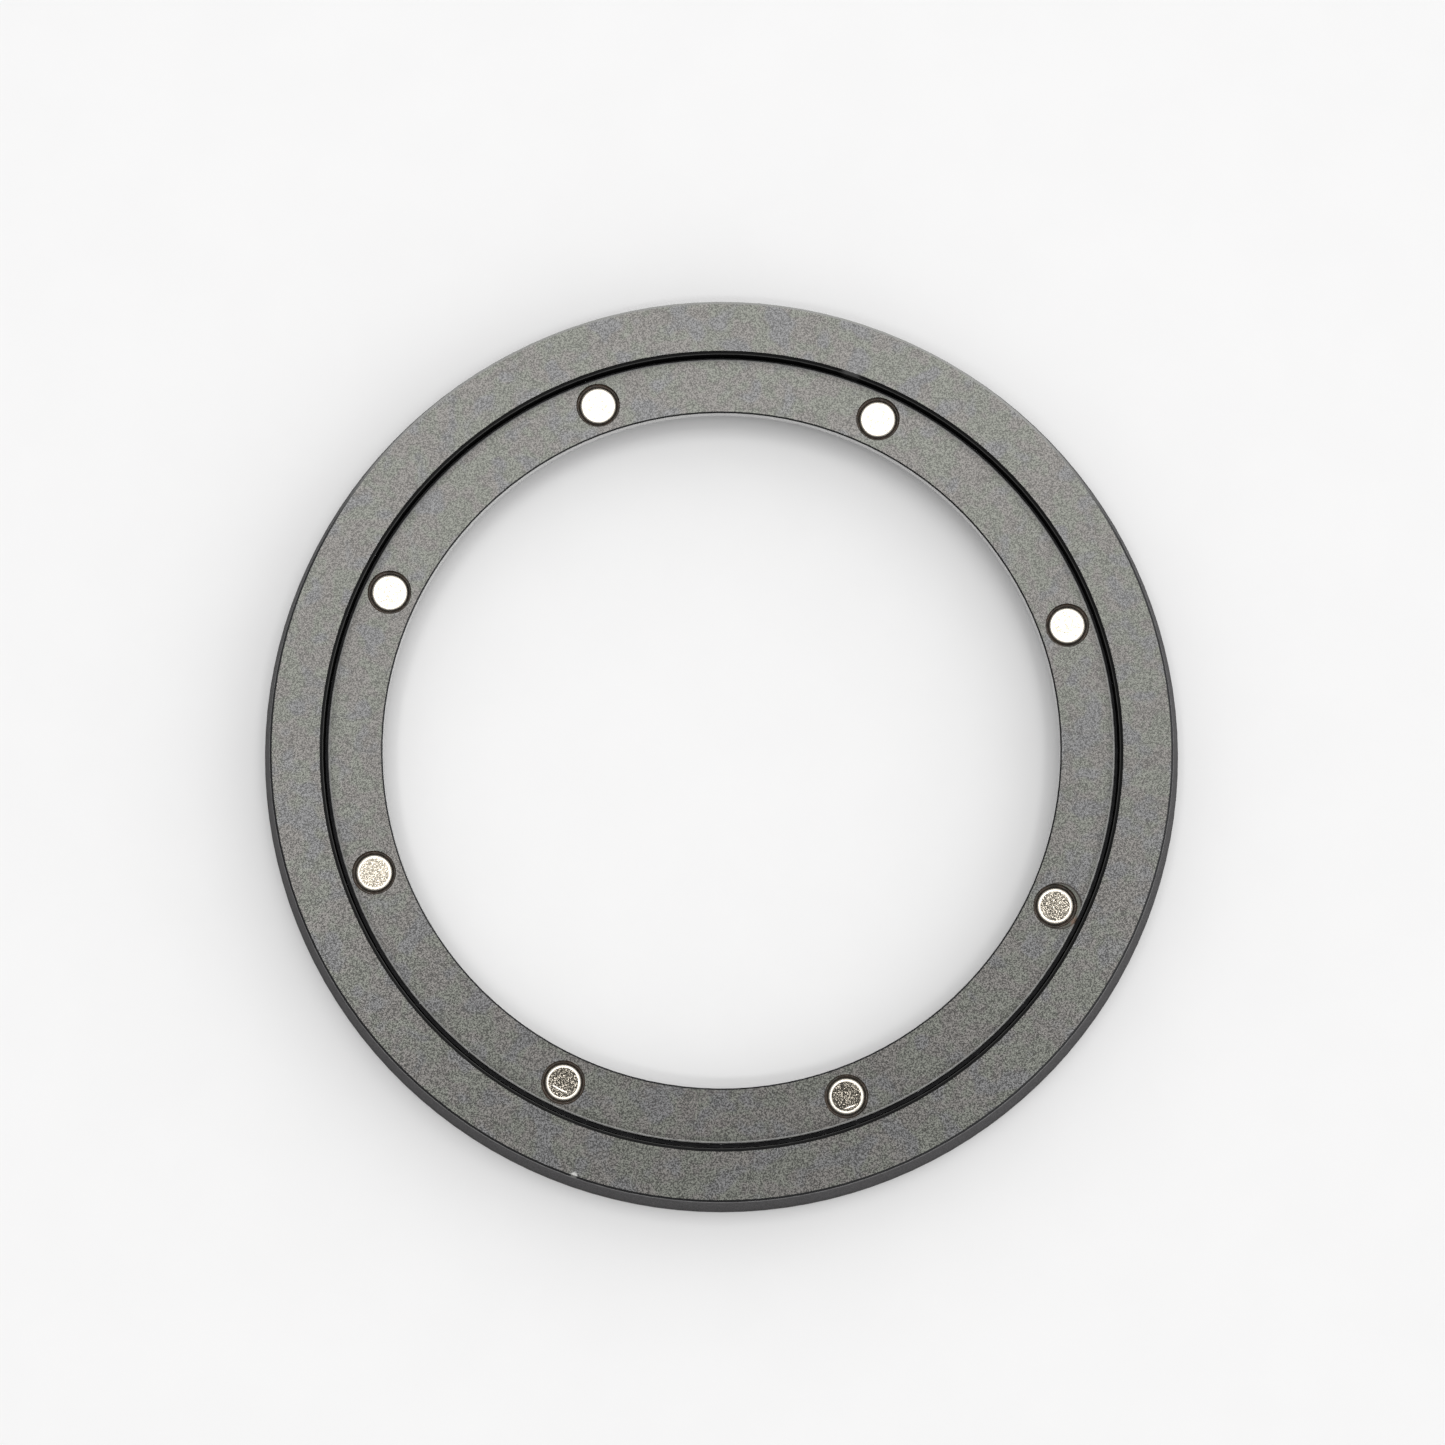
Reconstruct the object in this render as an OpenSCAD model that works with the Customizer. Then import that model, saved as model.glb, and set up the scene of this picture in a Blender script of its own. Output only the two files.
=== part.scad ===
// Low banding wheel: a flat two-ring turntable. The outer ring stands on the bench,
// and the inner ring turns in it on a ball race. Eight magnets in the inner ring hold
// the exchangeable wheel head, whose spigot drops into the open bore.
// Millimetres. +Z is the axis of rotation, and the origin is on that axis, on the bench.

/* [Base ring] */
// Widest diameter, at the foot of the outer ring
outer_d = 120; // [117:0.5:140]
// Height from the bench to the top of the outer ring
height = 9; // [8.6:0.1:12]
// Slope of the outer wall and of the relieved bore, in degrees from upright
flare = 9.8; // [4:0.1:11]
// Diameter of the hole in the outer ring that the turning ring runs in
race_d = 103.46; // [102.6:0.01:104]

/* [Turning ring] */
// Diameter of the bore that locates a wheel head
bore_d = 88; // [84:0.5:88]
// Outer diameter of the turning ring
ring_d = 102.16; // [101.6:0.01:102.3]
// How far the turning ring's face lies below the outer ring's face
face_step = 0.6; // [0.2:0.1:0.8]
// Height of the upright wall at the top of the bore
bore_land = 2.2; // [1:0.1:3]

/* [Magnets] */
// Number of magnets around the turning ring
magnet_count = 8; // [4:1:8]
// Diameter of each disc magnet
magnet_d = 5; // [4:0.1:5]
// Thickness of each disc magnet
magnet_t = 2; // [1.5:0.1:2]
// Diameter of the pocket that holds a magnet
pocket_d = 5.7; // [5.3:0.05:5.8]
// Diameter of the circle that the magnets sit on
magnet_pcd = 95.6; // [95:0.1:95.8]
// How far a magnet's face lies below the turning ring's face
magnet_recess = 0.35; // [0.1:0.05:0.4]
// Angle of the first magnet at rest
magnet_start = 19.7; // [0:0.1:45]

/* [Ball race] */
// Number of balls
ball_count = 36; // [24:1:36]
// Diameter of a ball
ball_d = 3; // [2.5:0.1:3]
// Number of screws that hold the race retainer
screw_count = 8; // [4:1:12]

/* [Hidden] */
$fn = 64;

// Edges and corners
edge_break = 0.2;
edge_round = 0.25;
bevel_w = 0.28;
bevel_drop = 0.24;
race_chamfer = 0.4;
foot_chamfer = 0.3;
magnet_round = 0.45;

// Levels above the bench
foot_proud = 0.4;
retainer_z = foot_proud + 0.3;
ring_z = foot_proud + 0.5;
ring_top = height - face_step;
pocket_z = ring_top - magnet_recess - magnet_t;

// Ball race: the groove is 7% wider than the ball, and midway across the running gap
groove_fit = 1.07;
groove_r = ball_d / 2 * groove_fit;
race_web = 0.6;
ball_r = (race_d + ring_d) / 4;
ball_z = pocket_z - race_web - groove_r;

// Strip cage, which runs in the gap between the two rings
cage_clear = 0.12;
cage_h = ball_d + 1.4;

// Race retainer and its countersunk screws
retainer_d = race_d + 11;
retainer_fit = 0.05;
screw_r = 1;
screw_head_r = 1.9;
screw_tip_z = ball_z + 3;
screw_circle_r = (race_d + retainer_d) / 4 + 0.1;
screw_sink = 0.1;
socket_across = 1.3;
socket_depth = 0.7;

// Non-slip ring in its groove
pad_w = 1.4;
pad_seat = 1;
pad_r = (retainer_d + outer_d) / 4 - 0.1;

// Adhesive round a magnet, which creeps up the pocket's wall
glue_low = 0.5;
glue_creep = 0.15;

// Leaves room past a face for a clean cut
cut = 1;

function two_digits(n) = str(n < 10 ? "0" : "", n);
function magnet_name(i) = str("magnet_", i);
function adhesive_name(i) = str("magnet_adhesive_", i);
function ball_name(i) = str("bearing_ball_", two_digits(i));

// Puts its children on a circle round the axis, at one of count even steps
module on_circle(i, count, radius, start = 0) {
    rotate([0, 0, start + (i - 1) * 360 / count])
        translate([radius, 0, 0])
            children();
}

// Round groove that the balls run in
module race_groove() {
    translate([0, 0, ball_z])
        rotate_extrude()
            translate([ball_r, 0])
                circle(r = groove_r);
}

// Flat ring of rectangular section
module band(r_in, r_out, z_low, z_high) {
    rotate_extrude()
        translate([r_in, z_low])
            square([r_out - r_in, z_high - z_low]);
}

// Outer ring: sloped outer wall, bevelled race edge, rabbet below for the retainer
module base_ring() {
    foot_r = outer_d / 2;
    wall_low = foot_proud + foot_chamfer;
    wall_high = height - bevel_drop;
    shoulder_r = foot_r - (wall_high - wall_low) * tan(flare);
    color("#55565a")
        difference() {
            rotate_extrude()
                polygon([
                    [retainer_d / 2, foot_proud],
                    [foot_r - foot_chamfer, foot_proud],
                    [foot_r, wall_low],
                    [shoulder_r, wall_high],
                    [shoulder_r - bevel_w, height],
                    [race_d / 2 + race_chamfer, height],
                    [race_d / 2, height - race_chamfer],
                    [race_d / 2, ball_z],
                    [retainer_d / 2, ball_z]
                ]);
            race_groove();
            band(pad_r - pad_w / 2, pad_r + pad_w / 2, foot_proud - cut, foot_proud + pad_seat);
            for (i = [1 : screw_count])
                on_circle(i, screw_count, screw_circle_r)
                    translate([0, 0, ball_z - cut])
                        cylinder(r = screw_r, h = screw_tip_z - ball_z + cut);
        }
}

// Screw shank and sunk head, also the shape of the hole that it fills
module screw_body(head_z) {
    head_h = screw_head_r - screw_r;
    translate([0, 0, head_z])
        cylinder(r1 = screw_head_r, r2 = screw_r, h = head_h);
    translate([0, 0, head_z])
        cylinder(r = screw_r, h = screw_tip_z - head_z);
}

// Ring under the outer ring that closes the lower half of the outer race
module race_retainer() {
    color("#4a4b4f")
        difference() {
            band(race_d / 2, retainer_d / 2 - retainer_fit, retainer_z, ball_z);
            race_groove();
            for (i = [1 : screw_count])
                on_circle(i, screw_count, screw_circle_r) {
                    screw_body(retainer_z + screw_sink);
                    translate([0, 0, retainer_z - cut])
                        cylinder(r = screw_head_r, h = cut + screw_sink);
                }
        }
}

// Countersunk socket screws, driven up from below
module retainer_screws() {
    color("#2b2b2d")
        for (i = [1 : screw_count])
            on_circle(i, screw_count, screw_circle_r)
                difference() {
                    screw_body(retainer_z + screw_sink);
                    translate([0, 0, retainer_z - cut])
                        cylinder(d = socket_across / cos(30), h = cut + screw_sink + socket_depth, $fn = 6);
                }
}

// Rubber ring that the whole wheel stands on
module non_slip_ring() {
    color("#1c1c1e")
        band(pad_r - pad_w / 2, pad_r + pad_w / 2, 0, foot_proud + pad_seat);
}

// Inner ring: locating bore, relieved below its land, race and rounded edge outside,
// magnet pockets on top
module turning_ring() {
    land_top = ring_top - edge_break;
    land_low = land_top - bore_land;
    relief_r = bore_d / 2 + (land_low - ring_z) * tan(flare);
    color("#55565a")
        difference() {
            rotate_extrude()
                union() {
                    polygon([
                        [relief_r, ring_z],
                        [ring_d / 2 - edge_break, ring_z],
                        [ring_d / 2, ring_z + edge_break],
                        [ring_d / 2, ring_top - edge_round],
                        [ring_d / 2 - edge_round, ring_top],
                        [bore_d / 2 + edge_break, ring_top],
                        [bore_d / 2, land_top],
                        [bore_d / 2, land_low]
                    ]);
                    translate([ring_d / 2 - edge_round, ring_top - edge_round])
                        circle(r = edge_round);
                }
            race_groove();
            for (i = [1 : magnet_count])
                on_circle(i, magnet_count, magnet_pcd / 2, magnet_start)
                    translate([0, 0, pocket_z])
                        cylinder(d = pocket_d, h = ring_top - pocket_z + cut);
        }
}

// Disc magnet with rounded rims
module magnet(i) {
    color("#d9dadc")
        on_circle(i, magnet_count, magnet_pcd / 2, magnet_start)
            translate([0, 0, pocket_z])
                rotate_extrude()
                    union() {
                        square([magnet_d / 2 - magnet_round, magnet_t]);
                        translate([0, magnet_round])
                            square([magnet_d / 2, magnet_t - 2 * magnet_round]);
                        for (z = [magnet_round, magnet_t - magnet_round])
                            translate([magnet_d / 2 - magnet_round, z])
                                circle(r = magnet_round);
                    }
}

// Cured adhesive that fills the ring-shaped space between a magnet and its pocket
module magnet_adhesive(i) {
    glue_top = pocket_z + magnet_t - glue_low;
    color("#463c34")
        on_circle(i, magnet_count, magnet_pcd / 2, magnet_start)
            rotate_extrude()
                polygon([
                    [magnet_d / 2, pocket_z + magnet_round],
                    [pocket_d / 2, pocket_z + magnet_round],
                    [pocket_d / 2, glue_top + glue_creep],
                    [magnet_d / 2, glue_top]
                ]);
}

// Thin strip cage with one round window for each ball
module ball_cage() {
    window_h = (race_d - ring_d) / 2 + 2 * cut;
    color("#1f1f22")
        difference() {
            band(
                ring_d / 2 + cage_clear, race_d / 2 - cage_clear,
                ball_z - cage_h / 2, ball_z + cage_h / 2
            );
            for (i = [1 : ball_count])
                on_circle(i, ball_count, ball_r - window_h / 2)
                    translate([0, 0, ball_z])
                        rotate([0, 90, 0])
                            cylinder(r = groove_r, h = window_h);
        }
}

// Steel ball
module bearing_ball(i) {
    color("#c9cbcf")
        on_circle(i, ball_count, ball_r)
            translate([0, 0, ball_z])
                sphere(d = ball_d);
}

base_ring();
race_retainer();
retainer_screws();
non_slip_ring();
turning_ring();
ball_cage();
for (i = [1 : magnet_count]) {
    magnet(i);
    magnet_adhesive(i);
}
for (i = [1 : ball_count]) {
    bearing_ball(i);
}
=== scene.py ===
"""Looks of the low banding wheel: two anodised rings, eight glued-in magnets and the ball race.

Metres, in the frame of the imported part: +Z is the axis of rotation, and the bench is at 0.
"""

import math

import bmesh
import bpy
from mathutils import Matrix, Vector, noise


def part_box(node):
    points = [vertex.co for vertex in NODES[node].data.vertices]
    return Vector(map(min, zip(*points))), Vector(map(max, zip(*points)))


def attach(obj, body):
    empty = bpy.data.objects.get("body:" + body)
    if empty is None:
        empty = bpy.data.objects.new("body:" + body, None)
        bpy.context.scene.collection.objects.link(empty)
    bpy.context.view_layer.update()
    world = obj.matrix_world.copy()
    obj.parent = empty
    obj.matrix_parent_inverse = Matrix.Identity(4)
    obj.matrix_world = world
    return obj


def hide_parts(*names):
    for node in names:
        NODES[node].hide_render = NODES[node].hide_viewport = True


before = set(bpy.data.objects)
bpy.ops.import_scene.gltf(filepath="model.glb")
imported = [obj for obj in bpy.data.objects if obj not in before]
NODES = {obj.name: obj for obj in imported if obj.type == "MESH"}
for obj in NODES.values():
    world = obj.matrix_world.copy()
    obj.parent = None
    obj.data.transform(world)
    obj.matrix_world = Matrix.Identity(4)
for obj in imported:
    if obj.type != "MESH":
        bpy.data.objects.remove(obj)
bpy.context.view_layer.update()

MM = 0.001
MAGNETS = sorted(name for name in NODES if name.startswith("magnet_") and "adhesive" not in name)
ADHESIVES = sorted(name for name in NODES if name.startswith("magnet_adhesive_"))
BALLS = sorted(name for name in NODES if name.startswith("bearing_ball_"))

# ---------------------------------------------------------------- places read from the frame


def radii_at(node, height):
    """The radii of a node's corners at one height, smallest first."""
    found = set()
    for vertex in NODES[node].data.vertices:
        if abs(vertex.co.z - height) < 0.01 * MM:
            found.add(round(math.hypot(vertex.co.x, vertex.co.y), 5))
    return sorted(found)


def middle_of(node):
    """The middle of a node's box."""
    low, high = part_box(node)
    return (low + high) / 2


def on_ring(radius, degrees):
    """A place at a radius and an angle round the axis."""
    angle = math.radians(degrees)
    return radius * math.cos(angle), radius * math.sin(angle)


# Depths below a ring's face: the foot of the chamfer at the race, and of the bore's upright land
CHAMFER_DEPTH = 0.4 * MM
LAND_DEPTH = 2.4 * MM

FACE_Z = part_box("base_ring")[1].z
RING_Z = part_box("turning_ring")[1].z
LAND_LOW_Z = RING_Z - LAND_DEPTH
WALL_EDGE_R = radii_at("base_ring", FACE_Z)[-1]
RACE_R = radii_at("base_ring", FACE_Z - CHAMFER_DEPTH)[0]
RING_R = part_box("turning_ring")[1].x
BORE_R = radii_at("turning_ring", RING_Z)[0]

# ---------------------------------------------------------------- camera

VIEW_HEIGHT = 0.6
VIEW_BACK = 0.051
SENSOR_WIDTH = 36.0
LENS = 115.7
SHIFT_RIGHT = 0.0007
SHIFT_UP = 0.0178


def make_camera():
    """Looks down on the rings from a little towards -Y."""
    data = bpy.data.cameras.new("camera")
    data.sensor_width = SENSOR_WIDTH
    data.lens = LENS
    data.shift_x = SHIFT_RIGHT
    data.shift_y = SHIFT_UP
    data.clip_start = 0.01
    data.clip_end = 20
    camera = bpy.data.objects.new("camera", data)
    target = Vector((0, 0, FACE_Z))
    camera.location = target + Vector((0, -VIEW_BACK, VIEW_HEIGHT))
    camera.rotation_euler = (target - camera.location).to_track_quat("-Z", "Y").to_euler()
    bpy.context.scene.collection.objects.link(camera)
    bpy.context.scene.camera = camera


# ---------------------------------------------------------------- node trees


class Shade:
    """Fills one node tree. Most calls add nodes and give back the last one's output."""

    def __init__(self, owner):
        self.owner = owner
        self.tree = owner.node_tree
        self.tree.nodes.clear()

    @classmethod
    def material(cls, name):
        """Starts a new material."""
        made = bpy.data.materials.new(name)
        made.use_nodes = True
        return cls(made)

    def feed(self, socket, value):
        """Links another node's output to an input, or sets the input to a number or colour."""
        if isinstance(value, bpy.types.NodeSocket):
            self.tree.links.new(value, socket)
        elif socket.type == "RGBA":
            socket.default_value = (*value, 1)
        else:
            socket.default_value = value

    def node(self, kind, inputs=(), **settings):
        """Adds a node of a kind, makes its settings, feeds its inputs and gives it back."""
        made = self.tree.nodes.new(kind)
        for key, value in settings.items():
            setattr(made, key, value)
        for key, value in dict(inputs).items():
            self.feed(made.inputs[key], value)
        return made

    def place(self):
        """Position in the object's own space, in metres."""
        return self.node("ShaderNodeTexCoord").outputs["Object"]

    def part(self, vector, axis):
        """One of a vector's three parts."""
        return self.node("ShaderNodeSeparateXYZ", {0: vector}).outputs[axis]

    def height(self):
        """Height above the bench."""
        return self.part(self.place(), "Z")

    def back(self, low, high, out_low=0.0, out_high=1.0):
        """Goes smoothly from out_low to out_high as Y goes from low to high."""
        return self.ease(self.part(self.place(), "Y"), low, high, out_low, out_high)

    def from_point(self, x, y):
        """Distance from an upright line through a place on the faces."""
        flat = self.node("ShaderNodeVectorMath", {0: self.place(), 1: (1, 1, 0)}, operation="MULTIPLY")
        inputs = {0: flat.outputs[0], 1: (x, y, 0)}
        return self.node("ShaderNodeVectorMath", inputs, operation="DISTANCE").outputs["Value"]

    def radius(self):
        """Distance from the axis of rotation."""
        return self.from_point(0, 0)

    def facing_up(self):
        """1 on faces that point up, 0 on upright ones, -1 on those that point down."""
        return self.part(self.node("ShaderNodeNewGeometry").outputs["Normal"], "Z")

    def math(self, operation, a, b=0.0, clamp=False):
        """A sum, a product or the like of two values."""
        inputs = {0: a, 1: b}
        return self.node("ShaderNodeMath", inputs, operation=operation, use_clamp=clamp).outputs[0]

    def times(self, first, *others):
        """The product of several values."""
        for other in others:
            first = self.math("MULTIPLY", first, other)
        return first

    def most(self, first, *others):
        """The largest of several values."""
        for other in others:
            first = self.math("MAXIMUM", first, other)
        return first

    def ease(self, value, low, high, out_low=0.0, out_high=1.0):
        """Goes smoothly from out_low to out_high as value goes from low to high."""
        inputs = {0: value, 1: low, 2: high, 3: out_low, 4: out_high}
        return self.node("ShaderNodeMapRange", inputs, interpolation_type="SMOOTHSTEP").outputs[0]

    def blend(self, share, a, b):
        """The number a where share is 0 and b where it is 1."""
        return self.ease(share, 0.0, 1.0, a, b)

    def line(self, value, middle, half_width):
        """1 at a value, falling smoothly to 0 at half_width from it."""
        away = self.math("ABSOLUTE", self.math("SUBTRACT", value, middle))
        return self.ease(away, half_width, 0.0)

    def noise(self, size, detail=3.0, rough=0.55, stretch=(1, 1, 1), offset=0.0):
        """Noise from 0 to 1 with lumps of about that size in metres."""
        moved = self.node("ShaderNodeMapping", {0: self.place(), 1: (offset, offset, offset), 3: stretch})
        inputs = {"Vector": moved.outputs[0], "Scale": 1 / size, "Detail": detail, "Roughness": rough}
        return self.node("ShaderNodeTexNoise", inputs).outputs[0]

    def specks(self, spacing, size, offset=0.0):
        """1 in small round spots, about one in each cell of the spacing."""
        moved = self.node("ShaderNodeMapping", {0: self.place(), 1: (offset, offset, offset)})
        cells = self.node("ShaderNodeTexVoronoi", {"Vector": moved.outputs[0], "Scale": 1 / spacing})
        return self.ease(cells.outputs["Distance"], size / spacing, 0.6 * size / spacing)

    def mix(self, share, a, b):
        """Colour a where share is 0 and b where it is 1."""
        return self.node("ShaderNodeMix", {0: share, 6: a, 7: b}, data_type="RGBA").outputs[2]

    def scale(self, colour, amount):
        """A colour made lighter or darker."""
        inputs = {0: colour, "Scale": amount}
        return self.node("ShaderNodeVectorMath", inputs, operation="SCALE").outputs[0]

    def bump(self, height, depth):
        """Raises the surface by up to depth metres where height is 1."""
        inputs = {"Height": height, "Strength": 1.0, "Distance": depth}
        return self.node("ShaderNodeBump", inputs).outputs[0]

    def finish(self, colour, metallic, roughness, normal=None, **more):
        """Ends the tree with a surface, and gives back the material."""
        inputs = {"Base Color": colour, "Metallic": metallic, "Roughness": roughness}
        if normal is not None:
            inputs["Normal"] = normal
        inputs.update({key.replace("_", " "): value for key, value in more.items()})
        surface = self.node("ShaderNodeBsdfPrincipled", inputs)
        self.node("ShaderNodeOutputMaterial", {"Surface": surface.outputs[0]})
        return self.owner


# ---------------------------------------------------------------- light and floor

SOFTBOX_Z = 1.2
FLOOR_SIZE = 8.0

# Brightness of the surroundings, how much more they have towards +X and +Y, and the share of it
# that is left at the horizon and straight up
SKY_LEVEL = 0.42
SKY_RIGHT = 0.77
SKY_BACK = 0.50
HORIZON_SHARE = 0.75
ZENITH_SHARE = 0.40

TABLE_WHITE = (0.873, 0.871, 0.871)

# Each softbox: its left, right, near and far edges in metres, and its brightness
SOFTBOXES = {
    "softbox_back": (-0.29, 0.39, 0.108, 0.41, 5.15),
    "softbox_left": (-0.29, -0.21, -0.105, 0.155, 13.4),
    "softbox_corner": (-0.18, -0.09, 0.02, 0.09, 1.5),
    "softbox_right": (0.20, 0.30, -0.27, 0.06, 9.4),
    "softbox_front": (-0.28, 0.12, -0.31, -0.23, 13.6),
}


def make_softbox(name, left, right, near, far, brightness):
    """A flat soft light overhead that shines down, from left to right and from near to far."""
    data = bpy.data.lights.new(name, "AREA")
    data.shape = "RECTANGLE"
    data.size = right - left
    data.size_y = far - near
    data.energy = brightness * math.pi * data.size * data.size_y
    light = bpy.data.objects.new(name, data)
    light.location = ((left + right) / 2, (near + far) / 2, SOFTBOX_Z)
    bpy.context.scene.collection.objects.link(light)


def make_world():
    """Dim surroundings: brighter towards +X and +Y, darker near the horizon and straight up."""
    world = bpy.data.worlds.new("studio")
    world.use_nodes = True
    bpy.context.scene.world = world
    sky = Shade(world)
    direction = sky.node("ShaderNodeTexCoord").outputs["Generated"]
    side, back, up = sky.node("ShaderNodeSeparateXYZ", {0: direction}).outputs
    level = sky.math("ADD", sky.times(sky.most(side, 0.0), SKY_RIGHT), SKY_LEVEL)
    level = sky.math("ADD", sky.times(sky.most(back, 0.0), SKY_BACK), level)
    level = sky.times(level, sky.ease(up, 0.10, 0.40, HORIZON_SHARE, 1.0))
    level = sky.times(level, sky.ease(up, 0.9945, 0.9985, 1.0, ZENITH_SHARE))
    shine = sky.node("ShaderNodeBackground", {"Color": level})
    sky.node("ShaderNodeOutputWorld", {"Surface": shine.outputs[0]})


def floor_material():
    """Matte white table top."""
    shade = Shade.material("white_table")
    colour = shade.scale(TABLE_WHITE, shade.ease(shade.noise(12 * MM), 0.3, 0.7, 0.995, 1.005))
    return shade.finish(colour, 0.0, 0.7, Specular_IOR_Level=0.2)


def make_floor():
    """The table top that the wheel stands on."""
    half = FLOOR_SIZE / 2
    data = bpy.data.meshes.new("floor")
    corners = [(-half, -half, 0), (half, -half, 0), (half, half, 0), (-half, half, 0)]
    data.from_pydata(corners, [], [(0, 1, 2, 3)])
    data.materials.append(floor_material())
    floor = bpy.data.objects.new("floor", data)
    bpy.context.scene.collection.objects.link(floor)


# ---------------------------------------------------------------- anodised rings

GREY_GREEN = (0.0783, 0.0803, 0.0711)
GREY_PINK = (0.0811, 0.0775, 0.0731)
GREY_BLUE = (0.0769, 0.0768, 0.0773)
TURNED_DARK = (0.035, 0.035, 0.037)
WALL_DARK = (0.043, 0.041, 0.043)
# Real wear and a painted highlight along the top of the outer wall
WALL_WEAR_AND_HIGHLIGHT = (0.20, 0.20, 0.20)
# The nick's bare metal, and a painted highlight on the far side of the outer bevel
EDGE_NICK_AND_HIGHLIGHT = (0.30, 0.30, 0.29)
# Painted highlight on the turning ring's rim, brighter at the near side than at the far side
RIM_HIGHLIGHT_NEAR = (0.31, 0.31, 0.30)
RIM_HIGHLIGHT_FAR = (0.20, 0.20, 0.195)
# Painted highlight: the glint along the race chamfer's lower corner
RACE_CORNER_GLINT = (0.085, 0.085, 0.083)
# Painted shade: the race chamfer made near black
RACE_PAINTED_SHADE = (0.010, 0.010, 0.010)
RACE_LIGHT_SPOT = (0.07, 0.07, 0.07)
DUST = (0.9, 0.9, 0.9)
BARE_METAL = (0.62, 0.62, 0.61)
DULL_METAL = (0.16, 0.16, 0.158)
SPILT_THIN = (0.050, 0.052, 0.042)
# Painted shadow of the step in magnet_8's pocket wall
POCKET_STEP_SHADOW = (0.015, 0.012, 0.010)
SPILT_BROWN = (0.075, 0.050, 0.036)
RETAINER_GREY = (0.10, 0.10, 0.105)

ANODISED_METALLIC = 0.8
TURNED_ROUGH = 0.2
BLASTED_ROUGH = 0.27
RELIEF_ROUGH = 0.4
WORN_ROUGH = 0.6

PLAIN_GLOSS = 0.5
WORN_GLOSS = 0.1

# How much a surface faces up, 1 being flat: enough to be part of a face, and too little
FLAT = 0.97
NOT_FLAT = 0.9

# The grain of bead blasting, and how strong it is at the near and the far side; its stronger contrast at
# the near side is painted light. Noise fades on the planes between its own cells, and the offset keeps
# the rings' faces off those planes.
GRAIN = 0.18 * MM
GRAIN_OFFSET = 0.12 * MM
GRAIN_NEAR = 0.58
GRAIN_FAR = 0.38

# Angles round the axis of the nick in the wall's edge and of the lighter spot at the race
NICK_AT = 251
RACE_SPOT_AT = 71

# Adhesive spilt at magnet_8: how far to the right of the magnet its middle is, its radius, and
# how far to the right and near side the smear is
SPILT_RIGHT = 0.42 * MM
SPILT_R = 2.90 * MM
SMEAR_RIGHT = 2.7 * MM
SMEAR_NEAR = 2.1 * MM


def grain(shade):
    """The fine grain of bead blasting: how much lighter or darker each spot is."""
    lumps = shade.ease(shade.noise(GRAIN, 0.0, offset=GRAIN_OFFSET), 0.25, 0.75, -1.0, 1.0)
    # Painted light: the grain's contrast is stronger at the near side than at the far side
    strength = shade.back(-50 * MM, 20 * MM, GRAIN_NEAR, GRAIN_FAR)
    return shade.math("ADD", shade.times(lumps, strength), 1.0)


def blasted_colour(shade):
    """Anodised grey with faint blotches of tint and the grain of bead blasting."""
    tint = shade.mix(shade.ease(shade.noise(2.6 * MM, 1.0), 0.42, 0.58), GREY_GREEN, GREY_PINK)
    tint = shade.mix(shade.ease(shade.noise(3.4 * MM, 1.0, offset=0.31), 0.5, 0.66), tint, GREY_BLUE)
    return shade.scale(tint, grain(shade))


def blasted_bump(shade):
    """Small pits of bead blasting."""
    return shade.bump(shade.noise(0.24 * MM, 2.0, 0.7), 0.005 * MM)


def wall_colour(shade, height):
    """Dark blasted wall, with painted shade making it darkest at its foot."""
    colour = shade.scale(WALL_DARK, shade.ease(shade.noise(2.5 * MM), 0.3, 0.7, 0.93, 1.07))
    colour = shade.scale(colour, grain(shade))
    # Painted shade: the wall darkens towards its foot at the bench
    return shade.scale(colour, shade.ease(height, 1.0 * MM, 3.5 * MM, 0.75, 1.0))


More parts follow.
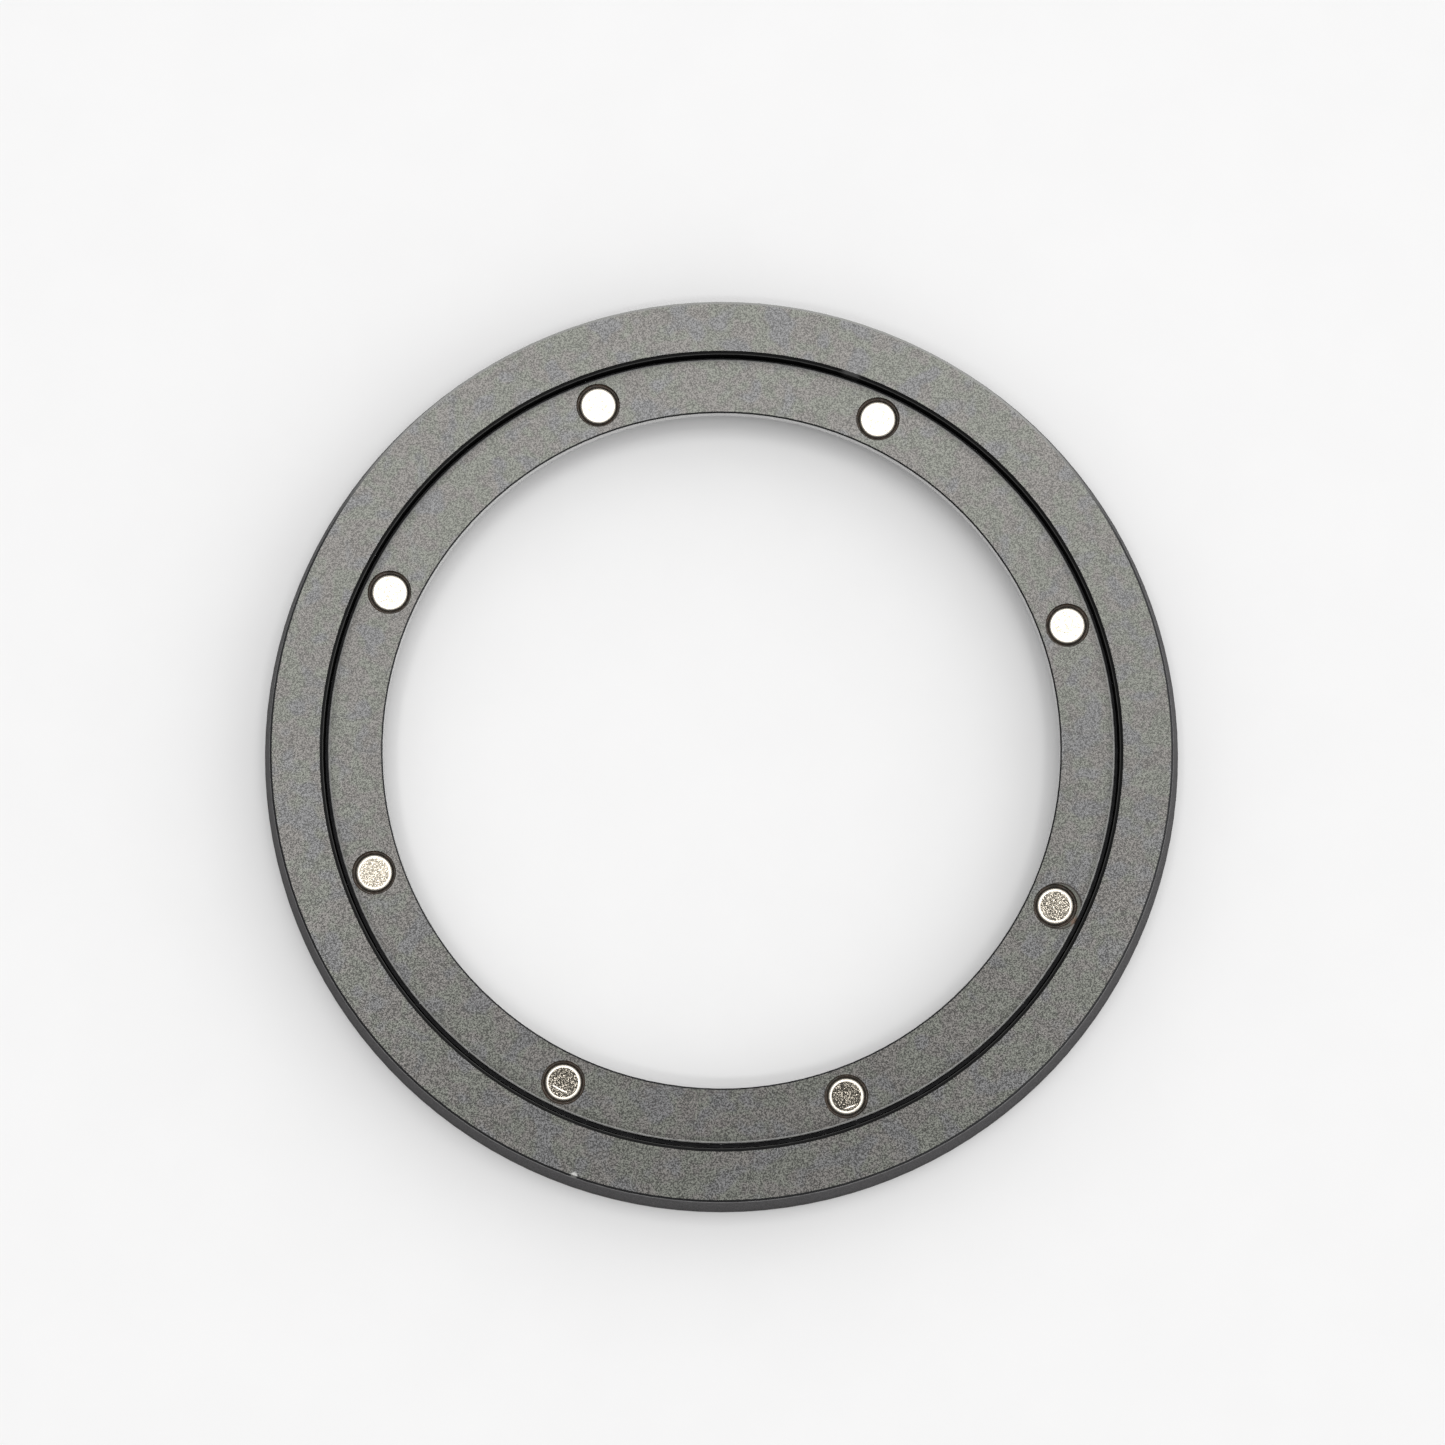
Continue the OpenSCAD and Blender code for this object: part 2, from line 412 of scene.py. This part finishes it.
def base_ring_material():
    """Blasted face, matte wall, dark bevels with painted shade at the race, and painted highlights and
    real wear along the edges.
    """
    shade = Shade.material("base_ring_anodised")
    up = shade.facing_up()
    radius = shade.radius()
    height = shade.height()
    face = shade.ease(up, NOT_FLAT, FLAT)
    off_face = shade.ease(up, NOT_FLAT, 0.85)
    wall = shade.ease(up, 0.5, 0.4)
    outside = shade.ease(radius, WALL_EDGE_R - 0.05 * MM, WALL_EDGE_R)
    colour = shade.mix(face, TURNED_DARK, blasted_colour(shade))
    colour = shade.mix(wall, colour, wall_colour(shade, height))

    # Outer edge: the top of the wall lighter from real wear and a painted highlight, a painted highlight
    # on the bevel at the far side, and one real nick
    patches = shade.ease(shade.noise(0.8 * MM, 4.0, 0.7), 0.3, 0.7, 0.4, 1.0)
    wall_top = shade.ease(height, FACE_Z - 1.2 * MM, FACE_Z - 0.5 * MM)
    # Real wear and painted highlight: a light band along the top of the outer wall
    colour = shade.mix(shade.times(wall_top, outside, patches, wall), colour, WALL_WEAR_AND_HIGHLIGHT)
    # Painted highlight: the outer bevel is painted bright on the far side only, where it catches the
    # light
    far_bevel_highlight = shade.times(outside, shade.ease(up, 0.6, 0.65), shade.back(26 * MM, 44 * MM))
    colour = shade.mix(far_bevel_highlight, colour, EDGE_NICK_AND_HIGHLIGHT)
    nick = shade.ease(shade.from_point(*on_ring(WALL_EDGE_R, NICK_AT)), 0.55 * MM, 0.25 * MM)
    nick = shade.times(nick, shade.ease(height, FACE_Z - 0.5 * MM, FACE_Z - 0.2 * MM))
    colour = shade.mix(nick, colour, EDGE_NICK_AND_HIGHLIGHT)

    # Race edge: painted shade that makes the chamfer near black, a painted glint along its lower corner,
    # and a lighter spot
    # Painted shade: the chamfer that faces the gap between the rings is painted near black
    shaded_race_bevel = shade.times(shade.ease(radius, RACE_R + 0.6 * MM, RACE_R + 0.5 * MM), off_face)
    colour = shade.mix(shaded_race_bevel, colour, RACE_PAINTED_SHADE)
    # Painted highlight: a thin glint along the chamfer's lower corner
    corner_z = FACE_Z - CHAMFER_DEPTH - 0.05 * MM
    race_corner_glint = shade.line(height, corner_z, 0.25 * MM)
    race_corner_glint = shade.times(race_corner_glint, shade.line(radius, RACE_R, 0.11 * MM))
    colour = shade.mix(race_corner_glint, colour, RACE_CORNER_GLINT)
    # A lighter spot on the race chamfer, at one place round the ring
    race_spot = shade.ease(shade.from_point(*on_ring(RACE_R, RACE_SPOT_AT)), 1.6 * MM, 0.6 * MM)
    colour = shade.mix(shade.times(race_spot, off_face), colour, RACE_LIGHT_SPOT)

    blasted = shade.math("ADD", face, wall, clamp=True)
    matte = shade.most(wall, shaded_race_bevel, far_bevel_highlight)
    rough = shade.blend(matte, shade.blend(blasted, TURNED_ROUGH, BLASTED_ROUGH), WORN_ROUGH)
    metal = shade.blend(matte, ANODISED_METALLIC, 0.0)
    gloss = shade.blend(matte, PLAIN_GLOSS, WORN_GLOSS)
    return shade.finish(colour, metal, rough, blasted_bump(shade), Specular_IOR_Level=gloss)


def spilt_adhesive(shade, colour, face):
    """Adhesive spilt round magnet_8: a thin crescent, a painted shadow along its edge where the pocket's
    wall steps, and a brown smear.
    """
    middle = middle_of("magnet_8")
    spilt = shade.from_point(middle.x + SPILT_RIGHT, middle.y)
    crescent = shade.times(shade.ease(spilt, SPILT_R, SPILT_R - 0.10 * MM), face, 0.8)
    colour = shade.mix(crescent, colour, SPILT_THIN)
    # Painted shadow: a dark line where the pocket's second, offset wall stands
    edge = shade.times(shade.line(spilt, SPILT_R + 0.05 * MM, 0.20 * MM), face)
    colour = shade.mix(edge, colour, POCKET_STEP_SHADOW)
    smear = shade.from_point(middle.x + SMEAR_RIGHT, middle.y - SMEAR_NEAR)
    smear = shade.ease(smear, 1.1 * MM, 0.4 * MM)
    smear = shade.times(smear, shade.ease(shade.noise(0.5 * MM), 0.35, 0.6))
    return shade.mix(smear, colour, SPILT_BROWN)


def turning_ring_material():
    """Blasted face with painted shade near its outer edge, smooth dark bevel, bore turned to bare metal,
    and a painted highlight on the outer rim.
    """
    shade = Shade.material("turning_ring_anodised")
    up = shade.facing_up()
    radius = shade.radius()
    height = shade.height()
    face = shade.ease(up, NOT_FLAT, FLAT)
    # Painted shade: the face darkens towards its outer edge, where the higher base ring shades it
    race_edge_shade = shade.ease(radius, RING_R - 1.3 * MM, RING_R - 0.3 * MM, 1.0, 0.75)
    colour = shade.mix(face, TURNED_DARK, shade.scale(blasted_colour(shade), race_edge_shade))

    # Bore: the bright upright land, and the duller relief below it
    upright = shade.times(shade.ease(up, 0.4, 0.2), shade.ease(up, -0.4, -0.2))
    land = shade.times(upright, shade.ease(radius, BORE_R + 0.02 * MM, BORE_R - 0.02 * MM))
    below_land = shade.ease(height, LAND_LOW_Z + 0.04 * MM, LAND_LOW_Z)
    relief = shade.times(upright, below_land, shade.ease(radius, BORE_R + 2.2 * MM, BORE_R + 2 * MM))
    turned = shade.ease(shade.noise(1.2 * MM, stretch=(0.15, 0.15, 12)), 0.3, 0.7, 0.86, 1.04)
    colour = shade.mix(land, colour, shade.scale(BARE_METAL, turned))
    colour = shade.mix(relief, colour, shade.scale(DULL_METAL, turned))

    # Outer rim: a patchy painted highlight along the rounded edge, brighter at the near side than at the
    # far side
    rim = shade.ease(radius, RING_R - 0.27 * MM, RING_R - 0.19 * MM)
    rim = shade.times(rim, shade.ease(height, RING_Z - 0.25 * MM, RING_Z - 0.15 * MM))
    patches = shade.ease(shade.noise(0.7 * MM, 4.0, 0.7), 0.35, 0.65, 0.6, 1.0)
    rim_highlight = shade.mix(shade.back(0, 40 * MM), RIM_HIGHLIGHT_NEAR, RIM_HIGHLIGHT_FAR)
    colour = shade.mix(shade.times(rim, patches), colour, rim_highlight)

    colour = spilt_adhesive(shade, colour, face)
    dust = shade.times(shade.specks(9 * MM, 0.16 * MM, 0.07), face)
    colour = shade.mix(dust, colour, DUST)

    blasted = shade.math("ADD", face, rim, clamp=True)
    rough = shade.blend(relief, shade.blend(blasted, TURNED_ROUGH, BLASTED_ROUGH), RELIEF_ROUGH)
    metal = shade.blend(rim, ANODISED_METALLIC, 0.0)
    return shade.finish(colour, metal, rough, blasted_bump(shade))


def retainer_material():
    """Dark anodised aluminium with fine turning marks."""
    shade = Shade.material("retainer_anodised")
    rings = shade.node(
        "ShaderNodeTexWave",
        {"Vector": shade.place(), "Scale": 1 / (0.9 * MM), "Distortion": 0.3, "Detail": 1.0},
        wave_type="RINGS", rings_direction="Z",
    ).outputs[1]
    colour = shade.scale(RETAINER_GREY, shade.ease(shade.noise(1.5 * MM), 0.3, 0.7, 0.8, 1.2))
    rough = shade.ease(shade.noise(2 * MM, offset=0.2), 0.3, 0.7, 0.3, 0.42)
    return shade.finish(colour, 0.85, rough, shade.bump(rings, 0.006 * MM))


# ---------------------------------------------------------------- magnets and adhesive

NICKEL_LIGHT = (0.49, 0.445, 0.375)
NICKEL_DARK = (0.195, 0.178, 0.145)
NICKEL_RIM = (0.60, 0.56, 0.49)
SCRATCH_BRIGHT = (0.90, 0.84, 0.76)
ADHESIVE_DARK = (0.030, 0.024, 0.016)
ADHESIVE_BROWN = (0.062, 0.040, 0.026)

PLATING_ROUGH = 0.09
MAGNET_RIM_ROUGH = 0.34
SCRATCH_ROUGH = 0.5

# Width of the smooth rim of a magnet
MAGNET_RIM = 0.5 * MM

# Scratches on the magnets: half their width with soft edges, and for each one
# its direction in degrees, its distance from the magnet's middle, and its length
SCRATCH_HALF_WIDTH = 0.13 * MM
SCRATCHES = {
    "magnet_6": (-26, 0.95 * MM, 3.6 * MM),
    "magnet_7": (20, 1.45 * MM, 2.4 * MM),
}

# Each magnet takes its noise from a place of its own, this far on from the last one's
SEED_STEP = 0.013

# The bead of adhesive: points round it and across it
BEAD_STEPS = 120
BEAD_ROWS = 9
BEAD_SHARP = math.radians(50)

# How much higher the bead stands at the wall than at the magnet, and how deep it sags between
BEAD_CREEP = 0.10 * MM
BEAD_SAG = 0.10 * MM

# Height and size of the bead's small lumps and of its long drift
LUMP_HEIGHT = 0.05 * MM
LUMP_SIZE = 0.9 * MM
DRIFT_HEIGHT = 0.09 * MM
DRIFT_SIZE = 3 * MM
DRIFT_SEED = 9


def scratch_on(shade, magnet):
    """1 along the magnet's scratch, which runs past the near side of its middle."""
    degrees, aside, length = SCRATCHES[magnet]
    turned = shade.node(
        "ShaderNodeMapping",
        {0: shade.place(), 1: middle_of(magnet), 2: (0, 0, math.radians(degrees))},
        vector_type="TEXTURE",
    ).outputs[0]
    wobble = shade.times(shade.math("SUBTRACT", shade.noise(0.7 * MM), 0.5), 0.3 * MM)
    across = shade.line(shade.math("ADD", shade.part(turned, "Y"), wobble), -aside, SCRATCH_HALF_WIDTH)
    along = shade.line(shade.part(turned, "X"), 0.0, length / 2)
    return shade.times(across, along)


def nickel_material(magnet, seed):
    """Worn nickel plating: a dimpled, speckled face inside a smooth rounded rim."""
    shade = Shade.material(f"nickel_plating_{seed}")
    low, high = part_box(magnet)
    middle = middle_of(magnet)
    flat_r = (high.x - low.x) / 2 - MAGNET_RIM
    face = shade.ease(shade.from_point(middle.x, middle.y), flat_r - 0.01 * MM, flat_r - 0.13 * MM)
    offset = SEED_STEP * seed
    pits = shade.ease(shade.noise(0.19 * MM, 1.0, 0.6, offset=offset), 0.50, 0.66)
    mottle = shade.ease(shade.noise(0.21 * MM, 1.0, 0.6, offset=offset + 0.2), 0.41, 0.59)
    colour = shade.mix(mottle, NICKEL_LIGHT, NICKEL_DARK)
    colour = shade.mix(face, NICKEL_RIM, colour)
    rough = shade.blend(face, MAGNET_RIM_ROUGH, PLATING_ROUGH)
    if magnet in SCRATCHES:
        scratch = shade.times(scratch_on(shade, magnet), face)
        colour = shade.mix(scratch, colour, SCRATCH_BRIGHT)
        rough = shade.blend(scratch, rough, SCRATCH_ROUGH)
    return shade.finish(colour, 1.0, rough, shade.bump(shade.times(pits, face), 0.003 * MM))


def adhesive_material():
    """Cured dark brown adhesive, lumpy and half glossy."""
    shade = Shade.material("dark_adhesive")
    blotches = shade.ease(shade.noise(0.8 * MM, 2.0), 0.35, 0.65)
    colour = shade.mix(blotches, ADHESIVE_DARK, ADHESIVE_BROWN)
    rough = shade.ease(shade.noise(0.5 * MM, offset=0.3), 0.3, 0.7, 0.3, 0.6)
    return shade.finish(colour, 0.0, rough, shade.bump(shade.noise(0.35 * MM), 0.05 * MM))


def bead_height(x, y, across, top, seed):
    """Height of the bead at a place, which sags between the magnet (across 0) and the wall (1)."""
    sag = BEAD_SAG * (1 - (2 * across - 1) ** 2)
    lumps = noise.noise(Vector((x / LUMP_SIZE, y / LUMP_SIZE, seed)))
    drift = noise.noise(Vector((x / DRIFT_SIZE, y / DRIFT_SIZE, seed + DRIFT_SEED)))
    z = top - BEAD_CREEP + BEAD_CREEP * across - sag + LUMP_HEIGHT * lumps + DRIFT_HEIGHT * drift
    return min(z, top)


def make_adhesive(name, magnet, material, seed):
    """A lumpy bead of adhesive that creeps up the pocket's wall, in place of the plain ring."""
    low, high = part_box(name)
    magnet_low, magnet_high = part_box(magnet)
    middle = middle_of(name)
    inner = (magnet_high.x - magnet_low.x) / 2
    outer = (high.x - low.x) / 2
    bead = bmesh.new()
    loops = []
    for row in range(BEAD_ROWS + 2):
        across = min(max((row - 1) / (BEAD_ROWS - 1), 0), 1)
        radius = inner + (outer - inner) * across
        at_bottom = row in (0, BEAD_ROWS + 1)
        loop = []
        for step in range(BEAD_STEPS):
            angle = 2 * math.pi * step / BEAD_STEPS
            x = middle.x + radius * math.cos(angle)
            y = middle.y + radius * math.sin(angle)
            z = low.z if at_bottom else bead_height(x, y, across, high.z, seed)
            loop.append(bead.verts.new((x, y, z)))
        loops.append(loop)
    for row, loop in enumerate(loops):
        after = loops[(row + 1) % len(loops)]
        for step in range(BEAD_STEPS):
            ahead = (step + 1) % BEAD_STEPS
            bead.faces.new((loop[step], loop[ahead], after[ahead], after[step]))
    bmesh.ops.recalc_face_normals(bead, faces=bead.faces)
    data = bpy.data.meshes.new(f"{name}_bead")
    bead.to_mesh(data)
    bead.free()
    data.shade_smooth()
    data.set_sharp_from_angle(angle=BEAD_SHARP)
    data.materials.append(material)
    piece = bpy.data.objects.new(f"{name}_bead", data)
    bpy.context.scene.collection.objects.link(piece)
    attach(piece, "turning_head")
    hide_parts(name)


# ---------------------------------------------------------------- race, screws and non-slip ring

BALL_STEEL = (0.62, 0.62, 0.63)
CAGE_BLACK = (0.030, 0.030, 0.032)
RUBBER_BLACK = (0.014, 0.014, 0.015)
RUBBER_DUSTY = (0.06, 0.058, 0.055)
OXIDE_BLACK = (0.022, 0.022, 0.024)
OXIDE_RUBBED = (0.12, 0.115, 0.11)


def steel_ball_material():
    """Polished bearing steel with light running marks."""
    shade = Shade.material("polished_steel")
    rough = shade.ease(shade.noise(0.6 * MM, 4.0), 0.35, 0.75, 0.06, 0.2)
    colour = shade.scale(BALL_STEEL, shade.ease(shade.noise(1 * MM), 0.3, 0.7, 0.92, 1.05))
    return shade.finish(colour, 1.0, rough)


def cage_material():
    """Black moulded nylon."""
    shade = Shade.material("black_nylon")
    colour = shade.scale(CAGE_BLACK, shade.ease(shade.noise(1.5 * MM), 0.3, 0.7, 0.8, 1.3))
    bumpy = shade.bump(shade.noise(0.25 * MM), 0.01 * MM)
    return shade.finish(colour, 0.0, 0.6, bumpy, Specular_IOR_Level=0.15)


def rubber_material():
    """Matte black rubber with a dusty grain."""
    shade = Shade.material("black_rubber")
    dust = shade.ease(shade.noise(0.5 * MM, 4.0), 0.5, 0.8, 0.0, 0.5)
    colour = shade.mix(dust, RUBBER_BLACK, RUBBER_DUSTY)
    return shade.finish(colour, 0.0, 0.82, shade.bump(shade.noise(0.3 * MM), 0.02 * MM))


def screw_material():
    """Black oxide steel, rubbed lighter on its high spots."""
    shade = Shade.material("black_oxide")
    rubbed = shade.ease(shade.noise(0.6 * MM, 4.0, 0.7), 0.5, 0.75, 0.0, 0.6)
    colour = shade.mix(rubbed, OXIDE_BLACK, OXIDE_RUBBED)
    return shade.finish(colour, 0.8, 0.38, shade.bump(shade.noise(0.2 * MM), 0.006 * MM))


# ---------------------------------------------------------------- the scene


def dress(names, material):
    """Gives nodes their material."""
    for name in names:
        data = NODES[name].data
        data.materials.clear()
        data.materials.append(material)


make_camera()
make_world()
for softbox_name, figures in SOFTBOXES.items():
    make_softbox(softbox_name, *figures)
make_floor()

dress(["base_ring"], base_ring_material())
dress(["turning_ring"], turning_ring_material())
dress(["race_retainer"], retainer_material())
dress(["retainer_screws"], screw_material())
dress(["non_slip_ring"], rubber_material())
dress(["ball_cage"], cage_material())
dress(BALLS, steel_ball_material())

adhesive = adhesive_material()
for number, (magnet_name, adhesive_name) in enumerate(zip(MAGNETS, ADHESIVES), 1):
    dress([magnet_name], nickel_material(magnet_name, number))
    make_adhesive(adhesive_name, magnet_name, adhesive, number)

scene = bpy.context.scene
scene.view_settings.view_transform = "Standard"
scene.view_settings.look = "None"
